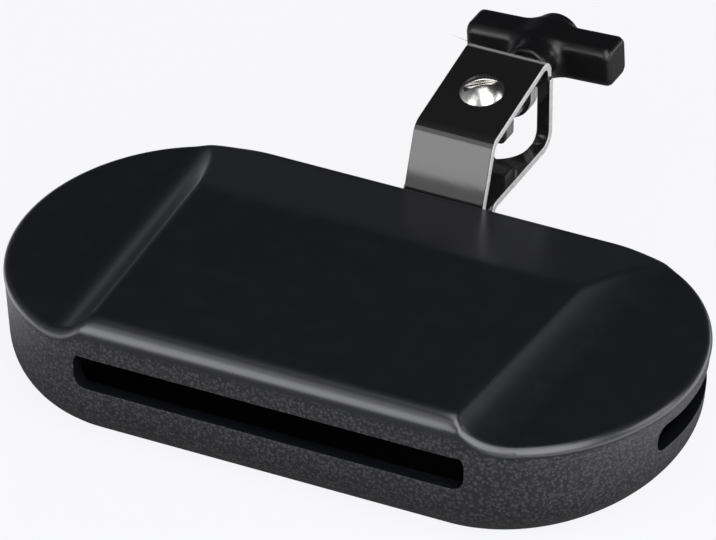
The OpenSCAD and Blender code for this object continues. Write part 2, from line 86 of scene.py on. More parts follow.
class Wiring:
    """Node tree of one material or of the world: put() adds a node, and a dict of inputs sets or links it."""

    def __init__(self, owner):
        owner.use_nodes = True
        self.tree = owner.node_tree
        self.tree.nodes.clear()

    def put(self, kind, inputs=None, **settings):
        node = self.tree.nodes.new("ShaderNode" + kind)
        for name, value in settings.items():
            setattr(node, name, value)
        for name, value in (inputs or {}).items():
            socket = node.inputs[name]
            if isinstance(value, bpy.types.NodeSocket):
                self.tree.links.new(value, socket)
            else:
                socket.default_value = value
        return node

    def ramp(self, value, *stops):
        """Colour ramp through (place, grey) stops."""
        node = self.put("ValToRGB", {"Fac": value})
        elements = node.color_ramp.elements
        while len(elements) < len(stops):
            elements.new(1)
        for element, (place, grey) in zip(elements, stops):
            element.position = place
            element.color = (grey, grey, grey, 1)
        return node.outputs["Color"]

    def mixed(self, share, first, second):
        """Colour between two, given as sockets or as red, green and blue."""
        first, second = ((*colour, 1) if isinstance(colour, tuple) else colour for colour in (first, second))
        node = self.put("Mix", {"Factor": share, "A": first, "B": second}, data_type="RGBA")
        return next(socket for socket in node.outputs if socket.type == "RGBA")

    def seen(self):
        """1 for rays that show the background: camera and transmission rays."""
        path = self.put("LightPath").outputs
        return self.put("Math", {0: path["Is Camera Ray"], 1: path["Is Transmission Ray"]},
                        operation="MAXIMUM").outputs[0]


# The tent is white where the lens looks, pale grey in front and at the sides, dark overhead and behind,
# with a small bright patch low behind the left end
tent = bpy.data.worlds.new("light_tent")
bpy.context.scene.world = tent
wires = Wiring(tent)
ray = wires.put("TexCoord").outputs["Generated"]
parts = wires.put("SeparateXYZ", {0: ray}).outputs
low_down = wires.ramp(parts["Z"], (0.25, 0.6), (0.9, 0.1))
in_front = wires.put("MapRange", {"Value": parts["Y"], "From Min": -0.5, "From Max": 0.6,
                                  "To Min": 1.0, "To Max": 0.07}, interpolation_type="SMOOTHSTEP").outputs[0]
shade = wires.put("Math", {0: low_down, 1: in_front}, operation="MULTIPLY").outputs[0]
towards_left = wires.put("VectorMath", {0: ray, 1: (-0.65, 0.76, 0.0)},
                         operation="DOT_PRODUCT").outputs["Value"]
bright = wires.put("MapRange", {"Value": towards_left, "From Min": 0.982, "From Max": 0.996,
                                "To Min": 0.0, "To Max": 0.4}, interpolation_type="SMOOTHSTEP").outputs[0]
shade = wires.put("Math", {0: shade, 1: bright}, operation="ADD").outputs[0]
glow = wires.put("Background", {"Color": (0.92, 0.95, 1.0, 1), "Strength": shade})
white = wires.put("Background", {"Color": (1, 1, 1, 1), "Strength": 1.05})
to_lens = wires.put("LightPath").outputs["Is Camera Ray"]
tent_light = wires.put("MixShader", {0: to_lens, 1: glow.outputs[0], 2: white.outputs[0]})
wires.put("OutputWorld", {"Surface": tent_light.outputs[0]})

# The paper lies a hair below the block, so that the two faces don't fight
floor_half, floor_top = 4.0, -0.05 * mm
floor_mesh = bpy.data.meshes.new("floor")
floor_corners = [(x * floor_half, y * floor_half, floor_top) for x, y in ((-1, -1), (1, -1), (1, 1), (-1, 1))]
floor_mesh.from_pydata(floor_corners, [], [(0, 1, 2, 3)])
floor = bpy.data.objects.new("floor", floor_mesh)
bpy.context.scene.collection.objects.link(floor)
# Painted light: the paper glows more strongly at the right, at the left in front, and in a patch behind the
# left end, which brightens what the ends and the left sweep mirror, and painted shade darkens its own colour
# far behind
paper = bpy.data.materials.new("white_paper")
wires = Wiring(paper)
place = wires.put("TexCoord").outputs["Object"]
along, behind = wires.put("SeparateXYZ", {0: place}).outputs[:2]


def fading(value, start, end, at_start, at_end):
    """Smooth step of a value on the paper's tree, from one level at start to another at end."""
    return wires.put("MapRange", {"Value": value, "From Min": start, "From Max": end, "To Min": at_start,
                                  "To Max": at_end}, interpolation_type="SMOOTHSTEP").outputs[0]


# Painted light: share of the paper that glows, at the right, at the left in front and in the patch behind
painted_glow = fading(along, 0.085, 0.14, 0.0, 0.8)
left = fading(along, -0.14, -0.085, 0.75, 0.0)
ahead = fading(behind, -0.02, 0.05, 1.0, 0.0)
left_front = wires.put("Math", {0: left, 1: ahead}, operation="MULTIPLY").outputs[0]
off_patch = wires.put("VectorMath", {0: place, 1: (-0.15, 0.17, 0)}, operation="DISTANCE").outputs["Value"]
patch = fading(off_patch, 0.05, 0.17, 0.3, 0.0)
for other in (patch, left_front):
    painted_glow = wires.put("Math", {0: painted_glow, 1: other}, operation="MAXIMUM").outputs[0]
# Painted shade: the paper's own colour darkens far behind, as if in shade
far = wires.put("MapRange", {"Value": behind, "From Min": 0.2, "From Max": 0.6,
                             "To Min": 0.22, "To Max": 0.1}).outputs[0]
matt = wires.put("BsdfDiffuse", {"Color": wires.put("CombineColor", {0: far, 1: far, 2: far}).outputs[0]})
# Painted light: the glow is stronger for rays other than the lens's, so that it shows in reflections and
# lights the block
strength = wires.put("MapRange", {"Value": wires.seen(), "To Min": 2.6, "To Max": 1.1}).outputs[0]
own_white = wires.put("Emission", {"Color": (0.97, 0.97, 1, 1), "Strength": strength})
half_seen = wires.put("Math", {0: wires.seen(), 1: 0.84}, operation="MULTIPLY").outputs[0]
own_share = wires.put("Math", {0: half_seen, 1: painted_glow}, operation="MAXIMUM").outputs[0]
mixed = wires.put("MixShader", {0: own_share, 1: matt.outputs[0], 2: own_white.outputs[0]})
wires.put("OutputMaterial", {"Surface": mixed.outputs[0]})
floor_mesh.materials.append(paper)


def softbox(name, place, width, tall, brightness):
    """Area lamp at a place, turned to the block. Its power gives the brightness on each bit of its face."""
    lamp = bpy.data.lights.new(name, "AREA")
    lamp.shape = "RECTANGLE"
    lamp.size = width
    lamp.size_y = tall
    lamp.energy = brightness * math.pi * width * tall
    lamp_object = bpy.data.objects.new(name, lamp)
    place = Vector(place)
    lamp_object.matrix_world = Matrix.Translation(place) @ place.to_track_quat("Z", "Y").to_matrix().to_4x4()
    bpy.context.scene.collection.objects.link(lamp_object)


softbox("front_softbox", (-0.43, -0.9, 0.26), 0.6, 0.6, 3.6)
softbox("front_upper_softbox", (-0.36, -0.75, 0.78), 0.6, 0.56, 1.3)
softbox("lens_side_softbox", (0.66, -0.56, 0.72), 1.0, 1.3, 4.2)
softbox("overhead_softbox", (0.1, -0.12, 1.25), 0.8, 0.6, 2.6)
softbox("right_softbox", (1.0, 0.4, 0.4), 0.6, 0.6, 3.0)


# Bottom shell
# The lower half of the block, moulded in black plastic with a coarse grain. Its walls round into the
# flat underside, and its upper edge is notched for the front slot and the two end slots.
# The lid sits on its upper edge, and six screws go up through its bosses.

half_length = 87.5 * mm
half_width = 48.3 * mm
end_reach = 42 * mm
straight = half_length - end_reach
wall = 3.6 * mm
edge_radius = 11 * mm
seam = 23.75 * mm
rim = 27.6 * mm
end_taper = 2.8 * mm
slot_corner = 3 * mm
front_slot = dict(half=51 * mm, floor=15.05 * mm, roof=24.35 * mm)
end_slots = dict(low=-13.5 * mm, high=27.5 * mm, floor=14.45 * mm, roof=21.65 * mm)


def narrowing(z):
    """How much each end is drawn in at height z: nothing at the rim, end_taper at the underside."""
    return end_taper * (rim - z) / rim


def slot_columns():
    """Angles round the right end and places along the front at which the shell has a column of points.
    Each slot's ends and the curves of its corners have columns of their own."""
    corner = slot_corner * np.sort(np.append(1 - np.cos(np.linspace(0, math.pi / 2, 7)), 0.4))
    low, high = end_slots["low"], end_slots["high"]
    across = np.concatenate([
        half_width * np.sin(np.radians(np.arange(-87, -16, 3.0))), low + corner[1:],
        np.linspace(low + slot_corner, high - slot_corner, 18)[1:-1], high - corner[::-1][:-1],
        half_width * np.sin(np.radians(np.arange(38, 88, 3.0)))])
    across = np.sort(np.concatenate([across, [low, high]]))
    end_angles = np.arcsin(np.clip(across / half_width, -1, 1))
    front_half = front_slot["half"]
    along = np.concatenate([np.linspace(0, front_half - slot_corner, 24), front_half - corner[::-1][1:]])
    return along, end_angles


def ring(inset, draw_in, along, end_angles):
    """Plan points of the outline at an inset, counter-clockwise from the front's middle: the straight
    sides keep their x, and each end is half an ellipse with axes end_reach and half_width, both less
    the inset."""
    reach, depth = end_reach - inset - draw_in, half_width - inset
    flat = along[along <= straight]
    beyond = along[along > straight]
    # The front slot runs a little way round the ends, where x still says the place
    beyond_angles = -np.arccos(np.clip((beyond - straight) / end_reach, 0, 1))
    tail = end_angles[end_angles > (beyond_angles.max() if len(beyond) else -2) + 0.01]
    turn = np.concatenate([beyond_angles, tail])
    right_side = np.concatenate([
        np.stack([flat, np.full_like(flat, -depth)], 1),
        np.stack([straight + reach * np.cos(turn), depth * np.sin(turn)], 1)])
    back = np.linspace(straight, 0, 24)
    right_side = np.concatenate([right_side, np.stack([back, np.full_like(back, depth)], 1)])
    left_side = right_side[::-1] * (-1, 1)
    return np.concatenate([right_side, left_side[1:-1]])


def slot_span(points):
    """Lowest and highest height of a slot over each plan point of the outer outline, which are both the
    seam outside the slots: flat in the middle, with a quarter circle at each corner. The front slot's
    upper corners run a little over the seam, so that the lid closes it."""
    x, y = np.abs(points[:, 0]), points[:, 1]
    low, high = np.full(len(points), seam), np.full(len(points), seam)
    tiny = 1e-7
    at_front = (y < 0) & (x <= front_slot["half"] + tiny)
    at_end = (x > straight) & (y >= end_slots["low"] - tiny) & (y <= end_slots["high"] + tiny)
    for where, inside, slot in (
            (at_front, front_slot["half"] - x, front_slot),
            (at_end, np.minimum(y - end_slots["low"], end_slots["high"] - y), end_slots)):
        into = np.clip(slot_corner - inside, 0, slot_corner)
        bow = slot_corner - np.sqrt(slot_corner ** 2 - into ** 2)
        low[where] = (slot["floor"] + bow)[where]
        high[where] = np.minimum(slot["roof"] - bow, seam)[where]
    return low, high


def closed_wall(outside, inside, faces):
    """Joins an outer and an inner skin with the same faces: the inner one turned inside out, and a
    strip of quads between them along every edge that only one face has."""
    faces = np.asarray(faces)
    count = len(outside)
    edges = np.concatenate([faces[:, [k, (k + 1) % 4]] for k in range(4)])
    edges = edges[edges[:, 0] != edges[:, 1]]
    key = np.sort(edges, 1)
    _, first, times = np.unique(key, axis=0, return_index=True, return_counts=True)
    free = edges[first[times == 1]]
    strip = np.stack([free[:, 1], free[:, 0], free[:, 0] + count, free[:, 1] + count], 1)
    return np.concatenate([outside, inside]), np.concatenate([faces, faces[:, ::-1] + count, strip])


def grid_faces(rows, columns, wrap):
    """Quads of a grid of rows times columns points; with wrap the last column joins the first."""
    across = np.arange(columns if wrap else columns - 1)
    row, column = np.meshgrid(np.arange(rows - 1), across, indexing="ij")
    after = (column + 1) % columns
    below, above = row * columns, (row + 1) * columns
    corners = (below + column, below + after, above + after, above + column)
    return np.stack([corner.ravel() for corner in corners], 1)


def new_piece(name, points, faces):
    """Mesh object at the origin from points and faces: equal points are merged, lost faces go, faces
    point outwards, and edges sharper than 35 degrees stay crisp."""
    mesh = bpy.data.meshes.new(name)
    whole_faces = [list(dict.fromkeys(face)) for face in np.asarray(faces).tolist() if len(set(face)) > 2]
    mesh.from_pydata(np.asarray(points).tolist(), [], whole_faces)
    shape = bmesh.new()
    shape.from_mesh(mesh)
    bmesh.ops.remove_doubles(shape, verts=shape.verts, dist=1e-6)
    bmesh.ops.dissolve_degenerate(shape, edges=shape.edges, dist=1e-7)
    bmesh.ops.recalc_face_normals(shape, faces=shape.faces)
    shape.to_mesh(mesh)
    shape.free()
    piece = bpy.data.objects.new(name, mesh)
    bpy.context.scene.collection.objects.link(piece)
    finish_edges(piece, 35)
    return piece


def finish_edges(piece, sharp):
    """Smooth shading, broken at edges sharper than an angle in degrees."""
    mesh = piece.data
    mesh.polygons.foreach_set("use_smooth", np.ones(len(mesh.polygons), dtype=bool))
    mesh.set_sharp_from_angle(angle=math.radians(sharp))


def settled(piece):
    """Applies the piece's modifiers to its mesh."""
    depsgraph = bpy.context.evaluated_depsgraph_get()
    mesh = bpy.data.meshes.new_from_object(piece.evaluated_get(depsgraph), depsgraph=depsgraph)
    piece.modifiers.clear()
    old = piece.data
    piece.data = mesh
    bpy.data.meshes.remove(old)


def edge_rounding(piece, radius, steps=2, angle=50):
    """Bevel modifier on every edge sharper than an angle in degrees."""
    bevel = piece.modifiers.new("edge_rounding", "BEVEL")
    bevel.width = radius
    bevel.segments = steps
    bevel.limit_method = "ANGLE"
    bevel.angle_limit = math.radians(angle)
    return bevel


wall_steps = 4


def shell_skin(inset):
    """Points of the shell's face at an inset, row by row: from the middle of the underside outwards,
    round the lower edge by a quarter circle, up the wall to the slots' floor, to their roof and on to
    the seam. Also the number of rows, and the slots' floor and roof over each column."""
    along, end_angles = slot_columns()
    low, high = slot_span(ring(0, 0, along, end_angles))
    floors = np.where(low < seam, low, front_slot["floor"] + slot_corner)
    roofs = np.where(low < seam, high, seam - slot_corner)
    columns = len(low)
    rows = []
    radius = edge_radius - inset
    for share in (0, 0.4, 0.75):
        plan = ring(edge_radius, narrowing(0), along, end_angles)
        middle = np.stack([np.clip(plan[:, 0], -straight, straight), np.zeros(columns)], 1)
        plan = middle + (plan - middle) * share
        rows.append(np.column_stack([plan, np.full(columns, inset)]))
    for angle in np.linspace(0, math.pi / 2, 13):
        z = inset + radius * (1 - math.cos(angle))
        plan = ring(inset + radius * (1 - math.sin(angle)), narrowing(z), along, end_angles)
        rows.append(np.column_stack([plan, np.full(columns, z)]))
    levels = [np.full(columns, inset + radius), floors, roofs, np.full(columns, seam)]
    for start, end in zip(levels, levels[1:]):
        for share in np.linspace(0, 1, wall_steps + 1)[1:]:
            rows.append(wall_row(inset, start + (end - start) * share, along, end_angles))
    return np.concatenate(rows), len(rows), low, high


def wall_row(inset, z, along, end_angles):
    """One row of wall points whose height, and so their narrowing, differs from column to column."""
    upper, lower = ring(inset, 0, along, end_angles), ring(inset, end_taper, along, end_angles)
    share = (narrowing(z) / end_taper)[:, None]
    return np.column_stack([upper + (lower - upper) * share, z])


outside, row_count, slot_low, slot_high = shell_skin(0)
inside = shell_skin(wall)[0]
column_count = len(slot_low)
faces = grid_faces(row_count, column_count, wrap=True)
first_row = faces[:, 0] // column_count
left_column, right_column = faces[:, 0] % column_count, faces[:, 1] % column_count
in_slot = (slot_low[left_column] < seam) & (slot_low[right_column] < seam)
open_above = np.minimum(slot_high[left_column], slot_high[right_column]) > seam - 1e-7
roof_row, floor_row = row_count - 1 - wall_steps, row_count - 1 - 2 * wall_steps
cut_out = in_slot & (first_row >= floor_row) & ((first_row < roof_row) | open_above)
bottom_shell = new_piece("bottom_shell_moulding", *closed_wall(outside, inside, faces[~cut_out]))


def coarse_grain(name, colour, pale, size, depth):
    """Moulded plastic: smooth satin where the piece's grain attribute is 0, a coarse cast grain of that
    size and depth with paler high points where it is 1, and painted shade where it is -1: a tenth of the
    shine."""
    material = bpy.data.materials.new(name)
    wires = Wiring(material)
    place = wires.put("TexCoord").outputs["Object"]
    amount = wires.put("Attribute", attribute_name="grain").outputs["Fac"]
    lumps = wires.put("TexVoronoi", {"Vector": place, "Scale": 1 / size}, feature="SMOOTH_F1")
    fine = wires.put("TexNoise", {"Vector": place, "Scale": 2.6 / size, "Detail": 4.0, "Roughness": 0.6})
    wide = wires.put("TexNoise", {"Vector": place, "Scale": 0.12 / size, "Detail": 2.0})
    both = wires.put("Math", {0: lumps.outputs["Distance"], 1: fine.outputs["Fac"]},
                     operation="ADD").outputs[0]
    speckle = wires.ramp(both, (0.55, 1.0), (1.05, 0.0))
    grained = wires.put("Math", {0: speckle, 1: amount}, operation="MULTIPLY").outputs[0]
    tone = wires.put("MapRange", {"Value": wide.outputs["Fac"], "From Min": 0.3, "From Max": 0.7,
                                  "To Min": -0.03, "To Max": 0.03}).outputs[0]
    pale_share = wires.put("Math", {0: grained, 1: tone}, operation="ADD", use_clamp=True).outputs[0]
    paint = wires.mixed(pale_share, colour, pale)
    rough = wires.put("MapRange", {"Value": amount, "To Min": 0.27, "To Max": 0.42}).outputs[0]
    haze = wires.put("TexNoise", {"Vector": place, "Scale": 4 / size, "Detail": 2.0}).outputs["Fac"]
    hazed = wires.put("Math", {0: haze, 1: 0.06, 2: rough}, operation="MULTIPLY_ADD").outputs[0]
    # Painted shade: where the grain attribute is -1, on the slots' walls and the inside, the shine drops to a
    # tenth so that they read dark
    slot_shade = wires.put("MapRange", {"Value": amount, "From Min": -1.0, "From Max": 0.0,
                                  "To Min": 0.1}).outputs[0]
    shine = wires.put("MapRange", {"Value": amount, "To Min": 0.75, "To Max": 0.5}).outputs[0]
    shine = wires.put("Math", {0: shine, 1: slot_shade}, operation="MULTIPLY").outputs[0]
    relief = wires.put("Math", {0: both, 1: amount}, operation="MULTIPLY").outputs[0]
    bump = wires.put("Bump", {"Height": relief, "Strength": 0.9, "Distance": depth}, invert=True)
    plastic = wires.put("BsdfPrincipled", {"Base Color": paint, "Roughness": hazed,
                                           "Specular IOR Level": shine, "Normal": bump.outputs[0]})
    wires.put("OutputMaterial", {"Surface": plastic.outputs[0]})
    return material


shell_plastic = coarse_grain("grained_black_plastic", (0.0042, 0.0046, 0.0064), (0.042, 0.041, 0.042),
                             0.8 * mm, 0.1 * mm)


def set_grain_and_shade(piece, values, faced=None):
    """Stores how much grain each corner of the piece shows: its point's value, or -1, which paints shade,
    on the faces that aren't in faced, such as the slots' walls and the inside."""
    mesh = piece.data
    corner_points = np.empty(len(mesh.loops), dtype=np.int64)
    mesh.loops.foreach_get("vertex_index", corner_points)
    corners = np.asarray(values)[corner_points]
    if faced is not None:
        counts = np.empty(len(mesh.polygons), dtype=np.int64)
        mesh.polygons.foreach_get("loop_total", counts)
        corners = np.where(np.repeat(faced, counts), corners, -1)
    layer = mesh.attributes.new("grain", "FLOAT", "CORNER")
    layer.data.foreach_set("value", corners.astype(np.float32))


def face_facts(piece):
    """Middle and normal of each face of a piece."""
    middles, normals = np.empty(len(piece.data.polygons) * 3), np.empty(len(piece.data.polygons) * 3)
    piece.data.polygons.foreach_get("center", middles)
    piece.data.polygons.foreach_get("normal", normals)
    return middles.reshape(-1, 3), normals.reshape(-1, 3)


def outer_faces(piece):
    """True for the faces of a shell's outer skin: close to the outline, or facing down low on it, and
    turned away from the block's middle."""
    middles, normals = face_facts(piece)
    hub = np.column_stack([np.clip(middles[:, 0], -straight, straight), np.zeros(len(middles))])
    outward = middles[:, :2] - hub
    outward /= np.maximum(np.linalg.norm(outward, axis=1, keepdims=True), 1e-9)
    turned_out = (outward * normals[:, :2]).sum(1)
    return (turned_out > 0.35) | (normals[:, 2] < -0.5) & (middles[:, 2] < edge_radius)


def points_of(piece):
    """Points of a piece's mesh as an array."""
    flat = np.empty(len(piece.data.vertices) * 3, dtype=np.float64)
    piece.data.vertices.foreach_get("co", flat)
    return flat.reshape(-1, 3)


# Each screw's place in shares of the straight part and the end's reach along X, and of half the width
screw_place_shares = ((1, 0.4, -0.56), (1, 0.4, 0.56), (0.64, 0, 0.76))
screw_spots = [(side * (share * straight + reach * end_reach), depth * half_width)
               for side in (-1, 1) for share, reach, depth in screw_place_shares]
boss_radius = 5.4 * mm
well_radius = 3.7 * mm
well_depth = 8 * mm
bore_radius = 2.1 * mm
mouth = 0.5 * mm
over = 1 * mm


def posts(name, profile, sides=40):
    """Upright turned bars at the screws' places: each (radius, height) of the profile makes a circle."""
    turn = np.linspace(0, 2 * math.pi, sides, endpoint=False)
    circle = np.stack([np.cos(turn), np.sin(turn), np.zeros(sides)], 1)
    rows, faces = [], []
    for x, y in screw_spots:
        first = len(rows) * sides
        rows.extend(np.array((x, y, height)) + radius * circle for radius, height in profile)
        past = len(rows) * sides
        faces.extend((first + grid_faces(len(profile), sides, wrap=True)).tolist())
        faces.append(list(range(first + sides - 1, first - 1, -1)))
        faces.append(list(range(past - sides, past)))
    mesh = bpy.data.meshes.new(name)
    mesh.from_pydata(np.concatenate(rows).tolist(), [], faces)
    return bpy.data.objects.new(name, mesh)


def combine(piece, other, operation):
    """Joins another object to a piece, or cuts it away, and drops it."""
    step = piece.modifiers.new(other.name, "BOOLEAN")
    step.object = other
    step.operation = operation
    step.solver = "EXACT"
    settled(piece)
    bpy.data.meshes.remove(other.data)


def mark_slot_edges(piece):
    """Gives the slots' outer edges a bevel weight: the sharp edges of the outer skin under the seam."""
    shape = bmesh.new()
    shape.from_mesh(piece.data)
    weight = shape.edges.layers.float.new("bevel_weight_edge")
    for edge in shape.edges:
        x, y, z = (edge.verts[0].co + edge.verts[1].co) / 2
        outer = math.hypot(max(abs(x) - straight, 0) / end_reach, y / half_width) > 0.95
        if outer and edge_radius < z < seam and edge.calc_face_angle(0) > 1:
            edge[weight] = 1
    shape.to_mesh(piece.data)
    shape.free()


mark_slot_edges(bottom_shell)
edge_rounding(bottom_shell, 0.5 * mm, steps=3).limit_method = "WEIGHT"
edge_rounding(bottom_shell, 0.25 * mm, angle=60)
settled(bottom_shell)
boss_profile = [(boss_radius, wall / 2), (boss_radius, seam)]
well_profile = [(well_radius + mouth + over, -over), (well_radius + mouth, 0), (well_radius, mouth),
                (well_radius, well_depth), (bore_radius, well_depth), (bore_radius, seam + over)]
combine(bottom_shell, posts("bosses", boss_profile), "UNION")
combine(bottom_shell, posts("wells", well_profile), "DIFFERENCE")
finish_edges(bottom_shell, 40)
# Painted shade: the slots' walls and the inside, which aren't outer faces, are marked -1
set_grain_and_shade(bottom_shell, np.ones(len(bottom_shell.data.vertices)), outer_faces(bottom_shell))
bottom_shell.data.materials.clear()
bottom_shell.data.materials.append(shell_plastic)
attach(bottom_shell, "root")
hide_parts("bottom_shell")


# Top shell
# The lid: two low lobes and a raised playing panel whose ends sweep down to them in a hollow curve.
# Its top is smooth satin plastic, the front edge of the panel is well rounded, and the short side
# wall has the grain of the lower shell.

panel_rise = 6.7 * mm
panel_end = 47.5 * mm
panel_sweep = 14 * mm
panel_opening = 5 * mm
panel_flare = math.atan(panel_opening / (2 * half_width))
panel_slope = 30 * mm
panel_edge_radius = 4.8 * mm
rim_radius = 2.2 * mm
lid_wall = 2.6 * mm
sweep_power = 2.6


def soft_least(first, second, blend):
    """The lesser of two heights, rounded over a blend where they are nearly equal."""
    return (first + second - np.sqrt((first - second) ** 2 + blend ** 2)) / 2


def panel_place(x, y):
    """How far a point lies along the panel, measured square to its end edges, which open to the back."""
    return np.abs(x) * math.cos(panel_flare) - (y + half_width) * math.sin(panel_flare)


def panel_height(x, y):
    """Height above the rim, as a share of the panel's rise. The ends fall as (1 - t) to a power, where t
    is the share of the sweep; the back falls in a straight slope; the lesser of them and 1 is taken."""
    t = (panel_place(x, y) - panel_end) / panel_sweep
    ends = np.where(t < 1, np.clip(1 - t, 0, None) ** sweep_power, 0)
    back = np.clip(half_width - rim_radius - y, 0, None) / panel_slope
    share = soft_least(soft_least(ends, np.ones_like(ends), 0.12), back, 0.05)
    return np.clip(share, 0, 1)


def edge_distance(x, y):
    """How far a plan point lies inside the outline, found by halving: the inset at which the ellipse
    of the end, with both axes less the inset, passes through the point."""
    past = np.clip(np.abs(x) - straight, 0, None)
    near, far = np.zeros_like(x), np.full_like(x, 12 * mm)
    for _ in range(40):
        middle = (near + far) / 2
        outside_it = (past / (end_reach - middle)) ** 2 + (y / (half_width - middle)) ** 2 > 1
        far = np.where(outside_it, middle, far)
        near = np.where(outside_it, near, middle)
    return near


def lid_height(x, y):
    """Height of the lid's top over a plan point, with its edge rounded by a quarter circle whose
    radius grows from the rim's to the panel's near the top of the sweep."""
    share = panel_height(x, y)
    radius = rim_radius + (panel_edge_radius - rim_radius) * np.clip((share - 0.7) / 0.3, 0, 1)
    inward = np.clip(radius - edge_distance(x, y), 0, radius)
    return rim + panel_rise * share - radius + np.sqrt(radius ** 2 - inward ** 2)


def lid_grid(inset):
    """Plan of the lid as rows from front to back and columns from left to right. Rows follow the sine
    of an even angle, so they crowd at the edges. Columns follow the panel's end edges and its sweeps,
    and crowd at the outline."""
    turn = np.linspace(-math.pi / 2, math.pi / 2, 121)
    y = ((half_width - inset) * np.sin(turn))[:, None]
    outline_x = straight + (end_reach - inset) * np.cos(turn)[:, None]
    first = (panel_end + (y + half_width) * math.sin(panel_flare)) / math.cos(panel_flare)
    last = first + panel_sweep / math.cos(panel_flare)
    first, last = np.minimum(first, outline_x), np.minimum(last, outline_x)
    in_panel = np.linspace(0, 1, 25) ** 0.8
    in_sweep = np.linspace(0, 1, 25)[1:] ** 1.3
    in_lobe = np.sin(np.linspace(0, math.pi / 2, 33))[1:]
    half = np.concatenate([first * in_panel, first + (last - first) * in_sweep,
                           last + (outline_x - last) * in_lobe], 1)
    x = np.concatenate([-half[:, :0:-1], half], 1)
    return x, np.broadcast_to(y, x.shape)


def loop_of(rows, columns):
    """Indices of a grid's outer points, counter-clockwise."""
    index = np.arange(rows * columns).reshape(rows, columns)
    return np.concatenate([index[0, :-1], index[:-1, -1], index[-1, :0:-1], index[:0:-1, 0]])


def lid_skin(inset, drop):
    """One face of the lid: the top, then the side wall in rows down to the seam, drawn in at the ends."""
    x, y = lid_grid(inset)
    outer_x, outer_y = lid_grid(0)
    if inset == 0:
        z = lid_height(outer_x, outer_y)
    else:
        z = rim + panel_rise * panel_height(outer_x, outer_y) - drop
    top = np.column_stack([x.ravel(), y.ravel(), z.ravel()])
    loop = loop_of(*x.shape)
    edge = top[loop]
    rows = [top]
    for share in (0.3, 0.65, 1.0):
        height = edge[:, 2] + (seam - edge[:, 2]) * share
        past = np.clip(np.abs(edge[:, 0]) - straight, 0, None) / (end_reach - inset)
        drawn = np.sign(edge[:, 0]) * past * narrowing(height) * (height < rim)
        rows.append(np.column_stack([edge[:, 0] - drawn, edge[:, 1], height]))
    return np.concatenate(rows), x.shape, loop


outside, grid_shape, loop = lid_skin(0, 0)
inside = lid_skin(wall, lid_wall)[0]
grid_size = grid_shape[0] * grid_shape[1]
top_faces = grid_faces(*grid_shape, wrap=False)
rings = np.concatenate([[loop], [grid_size + k * len(loop) + np.arange(len(loop)) for k in range(3)]])
following = np.roll(rings, -1, axis=1)
side_faces = [np.stack([rings[k], rings[k + 1], following[k + 1], following[k]], 1) for k in range(3)]
lid_faces = np.concatenate([top_faces, *side_faces])
top_shell = new_piece("top_shell_moulding", *closed_wall(outside, inside, lid_faces))
spots = points_of(top_shell)
fall = (panel_place(spots[:, 0], spots[:, 1]) - panel_end) / panel_sweep
on_sweep = np.clip(1 - np.abs(fall - 0.6) / 0.3, 0, 1) * 0.08
# The grain starts a little below the rounded edge, on points of the side wall
grain_drop, grain_fade, wall_reach = 0.25 * mm, 0.3 * mm, 0.4 * mm
below_edge = lid_height(spots[:, 0], spots[:, 1]) - grain_drop - spots[:, 2]
at_wall = edge_distance(spots[:, 0], spots[:, 1]) < wall_reach
set_grain_and_shade(top_shell, np.maximum(on_sweep, np.clip(below_edge / grain_fade, 0, 1) * at_wall))
top_shell.data.materials.append(shell_plastic)
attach(top_shell, "root")
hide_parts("top_shell")


# Screws of the shells
# Six dark screws go up through the wells in the underside and the bosses above them into the lid.
# They and every later piece keep the CAD's shape, with rounded edges and a finish of their own.

def dressed(node, rounding, angle=40, steps=2):
    """Copy of a CAD node's mesh: equal points merged, flat stretches joined to one face each, sharp
    edges rounded by a small radius, and smooth shading elsewhere. It stands for the node."""
    shape = bmesh.new()
    shape.from_mesh(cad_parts[node].data)
    bmesh.ops.remove_doubles(shape, verts=shape.verts, dist=2e-6)
    bmesh.ops.dissolve_limit(shape, angle_limit=math.radians(0.6), verts=shape.verts, edges=shape.edges)
    mesh = bpy.data.meshes.new(node + "_finished")
    shape.to_mesh(mesh)
    shape.free()
    if "custom_normal" in mesh.attributes:
        mesh.attributes.remove(mesh.attributes["custom_normal"])
    piece = bpy.data.objects.new(node + "_finished", mesh)
    bpy.context.scene.collection.objects.link(piece)
    edge_rounding(piece, rounding, steps, angle).use_clamp_overlap = False
    settled(piece)
    finish_edges(piece, angle)
    even = piece.modifiers.new("flat_faces", "WEIGHTED_NORMAL")
    even.keep_sharp = True
    settled(piece)
    return piece


def fit(piece, material, body, node):
    """Gives a piece its material, and says which body it rides on and which node it stands for."""
    piece.data.materials.clear()
    piece.data.materials.append(material)
    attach(piece, body)
    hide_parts(node)


